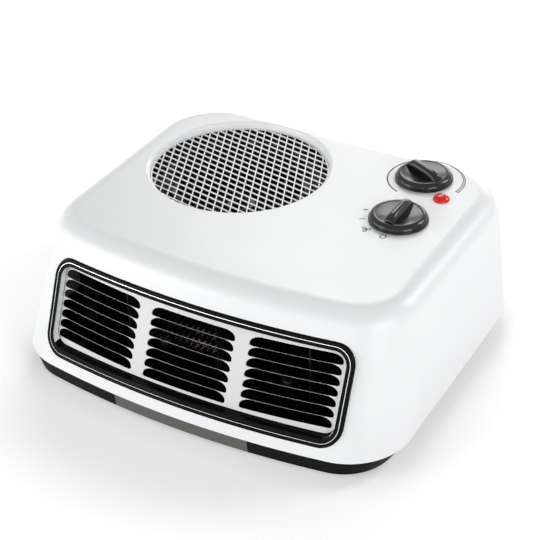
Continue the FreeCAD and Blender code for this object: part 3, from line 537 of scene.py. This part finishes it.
def shape_knob(place, pointer):
    """A knob: a low flange, a rounded skirt with a dished disc in it, and an arched grip across the disc."""
    round_segments = 96
    flange_height = 1.1
    flange_round = 0.25
    skirt_inset = 0.45
    skirt_round = 3.7
    lip = 0.3
    disc_sink = 0.4
    disc_dish = 2.2
    arch_fullness = 4  # 2 would make the grip's ends and sides elliptic, and more makes them squarer
    shoulder_fullness = 2.5
    arch_steps = 48
    cross_steps = 20
    hair = 0.01
    bm = bmesh.new()
    low = shell_top + knob_gap
    seat = Matrix.Translation(place + Vector((0, 0, low)))

    def drum(radius, height):
        start = set(bm.verts)
        bmesh.ops.create_cone(bm, cap_ends=True, segments=round_segments, radius1=radius, radius2=radius,
                              depth=height, matrix=seat @ Matrix.Translation((0, 0, height / 2)))
        fresh = [v for v in bm.verts if v not in start]
        return [e for e in bm.edges if all(v in fresh and v.co.z > low + height / 2 for v in e.verts)]

    flange_rim = drum(knob_radius, flange_height)
    bmesh.ops.bevel(bm, geom=flange_rim, affect="EDGES", offset=flange_round, segments=2, profile=0.5,
                    material=-1)
    skirt_rim = drum(knob_radius - skirt_inset, knob_skirt)
    bmesh.ops.bevel(bm, geom=skirt_rim, affect="EDGES", offset=skirt_round, segments=10, profile=0.5,
                    material=-1)
    disc = [f for f in bm.faces if f.calc_center_median().z > low + knob_skirt - hair]
    bm.normal_update()
    bmesh.ops.inset_region(bm, faces=disc, thickness=lip, depth=-disc_sink, use_even_offset=True)
    middle = bmesh.ops.poke(bm, faces=disc)
    bmesh.ops.translate(bm, verts=middle["verts"], vec=(0, 0, -disc_dish))

    grip = bmesh.new()
    bmesh.ops.create_grid(grip, x_segments=arch_steps, y_segments=cross_steps, size=1.0)
    for vert in grip.verts:
        along = math.sin(vert.co.x * math.pi / 2)
        aside = math.sin(vert.co.y * math.pi / 2)
        arch = max(1 - along ** arch_fullness, 0.0) ** 0.5
        shoulder = max(1 - abs(aside) ** shoulder_fullness, 0.0) ** 0.5
        vert.co = (along * grip_reach, aside * grip_width / 2, knob_rise * arch * shoulder)
    foot = bmesh.ops.extrude_edge_only(grip, edges=[e for e in grip.edges if e.is_boundary])
    for vert in [v for v in foot["geom"] if isinstance(v, bmesh.types.BMVert)]:
        vert.co.z = -disc_sink - disc_dish
    bmesh.ops.holes_fill(grip, edges=grip.edges[:])
    on_skirt = seat @ Matrix.Translation((0, 0, knob_skirt))
    bmesh.ops.transform(grip, verts=grip.verts[:], matrix=on_skirt @ Matrix.Rotation(pointer, 4, "Z"))
    made = bpy.data.meshes.new("grip")
    grip.to_mesh(made)
    grip.free()
    bm.from_mesh(made)
    bpy.data.meshes.remove(made)
    bmesh.ops.scale(bm, vec=(mm, mm, mm), verts=bm.verts[:])
    return bm


finished_piece("thermostat_dial_knob", shape_knob(thermostat_place, thermostat_pointer), [knob_charcoal],
               "thermostat_control", ["thermostat_knob"])
finished_piece("selector_dial_knob", shape_knob(selector_place, selector_pointer), [knob_charcoal],
               "selector_control", ["selector_knob"])


def shape_lamp():
    """The pilot lamp's lens: a domed jewel that stands on the top."""
    bm = bmesh.new()
    seat = Matrix.Translation(lamp_place + Vector((0, 0, shell_top)))
    bmesh.ops.create_uvsphere(bm, u_segments=56, v_segments=28, radius=lamp_radius,
                              matrix=seat @ Matrix.Diagonal((1, 1, lamp_dome / lamp_radius, 1)))
    below = bmesh.ops.bisect_plane(bm, geom=bm.verts[:] + bm.edges[:] + bm.faces[:], clear_inner=True,
                                   plane_co=(0, 0, shell_top - lamp_sink), plane_no=(0, 0, 1))
    rim = [e for e in below["geom_cut"] if isinstance(e, bmesh.types.BMEdge)]
    bmesh.ops.holes_fill(bm, edges=rim)
    bmesh.ops.scale(bm, vec=(mm, mm, mm), verts=bm.verts[:])
    return bm


finished_piece("pilot_lamp_jewel", shape_lamp(), [lamp_red], stands_for=["lamp_lens"])


def print_mark(name, bm, ink, lift=0.0):
    """Gives a flat mark, drawn in millimetres at height 0, its ink's thickness and lays it on the top."""
    bmesh.ops.recalc_face_normals(bm, faces=bm.faces[:])
    raised = bmesh.ops.extrude_face_region(bm, geom=bm.faces[:])
    upper = [v for v in raised["geom"] if isinstance(v, bmesh.types.BMVert)]
    bmesh.ops.translate(bm, verts=upper, vec=(0, 0, ink_thickness))
    bmesh.ops.translate(bm, verts=bm.verts[:], vec=(0, 0, shell_top + lift))
    bmesh.ops.scale(bm, vec=(mm, mm, mm), verts=bm.verts[:])
    finished_piece(name, bm, [ink])


def arc_mark(start, end, radii, end_radii):
    """A flat arc round the thermostat, clockwise, between two radii that may change on the way."""
    past_end = 1.01  # rounding can put the start a full turn on
    bm = bmesh.new()
    turn = Matrix.Translation(dial_place) @ Matrix.Rotation(start, 4, "Z")
    ends = [bm.verts.new(turn @ Vector((radius, 0, 0))) for radius in radii]
    edge = bm.edges.new(ends)
    sweep = start - end
    bmesh.ops.spin(bm, geom=[edge] + ends, cent=dial_place, axis=(0, 0, -1), angle=sweep, steps=72)
    for vert in bm.verts:
        arm = vert.co - dial_place
        done = ((start - math.atan2(arm.y, arm.x)) % math.tau) / sweep
        done = done if done < past_end else 0.0
        side = 0 if arm.length < sum(radii) / 2 else 1
        arm.length += done * (end_radii[side] - radii[side])
        vert.co = dial_place + arm
    return bm


def dial_radii(inward, outward):
    """The two radii that lie this far to each side of the middle of the thermostat's arc."""
    return dial_radius - inward, dial_radius + outward


line_radii = dial_radii(dial_line / 2, dial_line / 2)
wedge_radii = dial_radii(wedge_inward, wedge_outward)
tip_radii = dial_radii(fill_tip, fill_tip)
fill_radii = dial_radii(wedge_inward - wedge_outline, wedge_outward - wedge_outline)
print_mark("dial_arc_print", arc_mark(dial_start, wedge_start, line_radii, line_radii), ink_dark)
print_mark("dial_wedge_print", arc_mark(wedge_start, wedge_end, line_radii, wedge_radii), ink_dark)
print_mark("dial_wedge_fill_print", arc_mark(fill_start, fill_end, tip_radii, fill_radii), ink_pale,
           ink_thickness / 2)


def ring_mark(place, width, height):
    """A plain zero: an oval ring."""
    bm = bmesh.new()
    bmesh.ops.create_circle(bm, cap_ends=True, segments=28, radius=0.5,
                            matrix=Matrix.Translation(place) @ Matrix.Diagonal((width, height, 1, 1)))
    hole = bm.faces[:]
    bm.normal_update()
    bmesh.ops.inset_region(bm, faces=hole, thickness=sign_line, use_even_offset=True, use_boundary=True)
    bmesh.ops.delete(bm, geom=hole, context="FACES_ONLY")
    return bm


def fan_mark(place):
    """A plain three-bladed fan sign in outline."""
    blades = 3
    first_blade = math.radians(30)
    blade_middle = 1.7
    blade_long, blade_wide = 3.1, 2.5
    bm = bmesh.new()
    for i in range(blades):
        turn = Matrix.Rotation(first_blade + i * math.tau / blades, 4, "Z")
        blade = Matrix.Translation(place) @ turn @ Matrix.Translation((blade_middle, 0, 0))
        bmesh.ops.create_circle(bm, cap_ends=True, segments=24, radius=0.5,
                                matrix=blade @ Matrix.Diagonal((blade_long, blade_wide, 1, 1)))
    inside = bm.faces[:]
    bm.normal_update()
    bmesh.ops.inset_individual(bm, faces=inside, thickness=sign_line, use_even_offset=True)
    bmesh.ops.delete(bm, geom=inside, context="FACES_ONLY")
    return bm


def dash_mark(place, long, line):
    """A short straight dash that points at the selector."""
    bm = bmesh.new()
    turn = Matrix.Rotation(dash_turn, 4, "Z")
    bmesh.ops.create_grid(bm, x_segments=1, y_segments=1, size=0.5,
                          matrix=Matrix.Translation(place) @ turn @ Matrix.Diagonal((long, line, 1, 1)))
    return bm


print_mark("selector_zero_print", ring_mark(zero_place, zero_width, zero_height), ink_dark)
print_mark("selector_fan_print", fan_mark(fan_place), ink_dark)
print_mark("selector_low_print", dash_mark(low_place, low_long, low_line), ink_dark)
print_mark("selector_high_print", dash_mark(high_place, high_long, high_line), ink_dark)


def studio_white(tree, light):
    """A white background's strength: full where it is seen, also in gloss and through glass, else less."""
    path = add(tree, "ShaderNodeLightPath")
    direct = add(tree, "ShaderNodeMath", {0: path.outputs["Is Camera Ray"], 1: path.outputs["Is Glossy Ray"]},
                 operation="MAXIMUM")
    seen = add(tree, "ShaderNodeMath", {0: direct.outputs[0], 1: path.outputs["Is Transmission Ray"]},
               operation="MAXIMUM")
    strength = add(tree, "ShaderNodeMapRange", {"Value": seen.outputs[0], "To Min": light, "To Max": 1.0})
    return strength.outputs[0]


def light_studio():
    """The white room round the heater, which lights it only a little."""
    room_light = 0.16
    studio = bpy.data.worlds.new("studio")
    bpy.context.scene.world = studio
    studio.use_nodes = True
    tree = studio.node_tree
    tree.nodes.clear()
    sky = add(tree, "ShaderNodeBackground", {"Strength": studio_white(tree, room_light), "Color": full_white})
    add(tree, "ShaderNodeOutputWorld", {"Surface": sky.outputs[0]})


def lay_floor():
    """A pale paper sweep, in metres, that keeps the heater's shadow and fades up to white farther away."""
    reach = 6.0
    under_feet = -0.1 * mm
    shadow_near, shadow_far = 0.16, 0.6
    near_glow, far_glow = 0.3, 1.0
    material, tree = new_finish("white_paper_sweep")
    path = add(tree, "ShaderNodeLightPath")
    place = add(tree, "ShaderNodeTexCoord").outputs["Object"]
    away = add(tree, "ShaderNodeVectorMath", {0: place}, operation="LENGTH")
    fade = add(tree, "ShaderNodeMapRange", {
        "Value": away.outputs["Value"], "From Min": shadow_near, "From Max": shadow_far,
        "To Min": near_glow, "To Max": far_glow})
    paper = add(tree, "ShaderNodeBsdfDiffuse", {"Color": linear("F4F4F4")})
    glow = add(tree, "ShaderNodeEmission", {"Color": full_white, "Strength": fade.outputs[0]})
    both = add(tree, "ShaderNodeAddShader", {0: paper.outputs[0], 1: glow.outputs[0]})
    seen = add(tree, "ShaderNodeMath", {0: path.outputs["Is Camera Ray"], 1: path.outputs["Is Glossy Ray"]},
               operation="MAXIMUM")
    surface = add(tree, "ShaderNodeMixShader", {0: seen.outputs[0], 1: paper.outputs[0], 2: both.outputs[0]})
    add(tree, "ShaderNodeOutputMaterial", {"Surface": surface.outputs[0]})
    bm = bmesh.new()
    bmesh.ops.create_grid(bm, x_segments=1, y_segments=1, size=reach,
                          matrix=Matrix.Translation((0, 0, under_feet)))
    mesh = bpy.data.meshes.new("studio_floor")
    bm.to_mesh(mesh)
    bm.free()
    mesh.materials.append(material)
    floor = bpy.data.objects.new("studio_floor", mesh)
    bpy.context.scene.collection.objects.link(floor)


def softbox(name, place, width, height, radiance):
    """A soft lamp that faces the heater, with its place and size in metres and its face this bright."""
    light = bpy.data.lights.new(name, "AREA")
    light.shape = "RECTANGLE"
    light.size = width
    light.size_y = height
    light.energy = radiance * math.pi * width * height
    lamp = bpy.data.objects.new(name, light)
    lamp.location = place
    lamp.rotation_euler = (view_target - lamp.location).to_track_quat("-Z", "Y").to_euler()
    lamp.visible_camera = False
    bpy.context.scene.collection.objects.link(lamp)


light_studio()
lay_floor()
softbox("rear_softbox", Vector((-0.46, 1.0, 1.0)), width=0.55, height=0.5, radiance=5.4)
softbox("low_rear_softbox", Vector((-0.2, 1.1, 0.34)), width=0.7, height=0.3, radiance=3.6)
softbox("right_rear_softbox", Vector((0.68, 0.7, 0.72)), width=0.35, height=0.45, radiance=8.0)
softbox("left_softbox", Vector((-0.75, -0.9, 0.4)), width=0.6, height=0.6, radiance=4.7)
softbox("far_left_softbox", Vector((-1.15, -0.45, 0.3)), width=0.6, height=0.5, radiance=2.9)
softbox("right_softbox", Vector((1.0, -0.5, 0.4)), width=0.6, height=0.6, radiance=4.7)
softbox("front_softbox", Vector((0.1, -1.3, 0.45)), width=1.2, height=0.7, radiance=1.15)


def place_camera():
    """A camera where the photograph's stood, with its lens and its roll."""
    back = Vector((math.sin(view_azimuth) * math.cos(view_elevation),
                   -math.cos(view_azimuth) * math.cos(view_elevation), math.sin(view_elevation)))
    right = Vector((0, 0, 1)).cross(back).normalized()
    up = back.cross(right)
    level = Matrix((right, up, back)).transposed().to_4x4()
    stand = Matrix.Translation(view_target + view_distance * back)
    camera = bpy.data.cameras.new("camera")
    camera.sensor_width = sensor_mm
    camera.lens = focal_px * sensor_mm / photo_px
    eye = bpy.data.objects.new("camera", camera)
    eye.matrix_world = stand @ level @ Matrix.Rotation(view_roll, 4, "Z")
    bpy.context.scene.collection.objects.link(eye)
    bpy.context.scene.camera = eye


place_camera()
bpy.context.scene.view_settings.view_transform = "Standard"
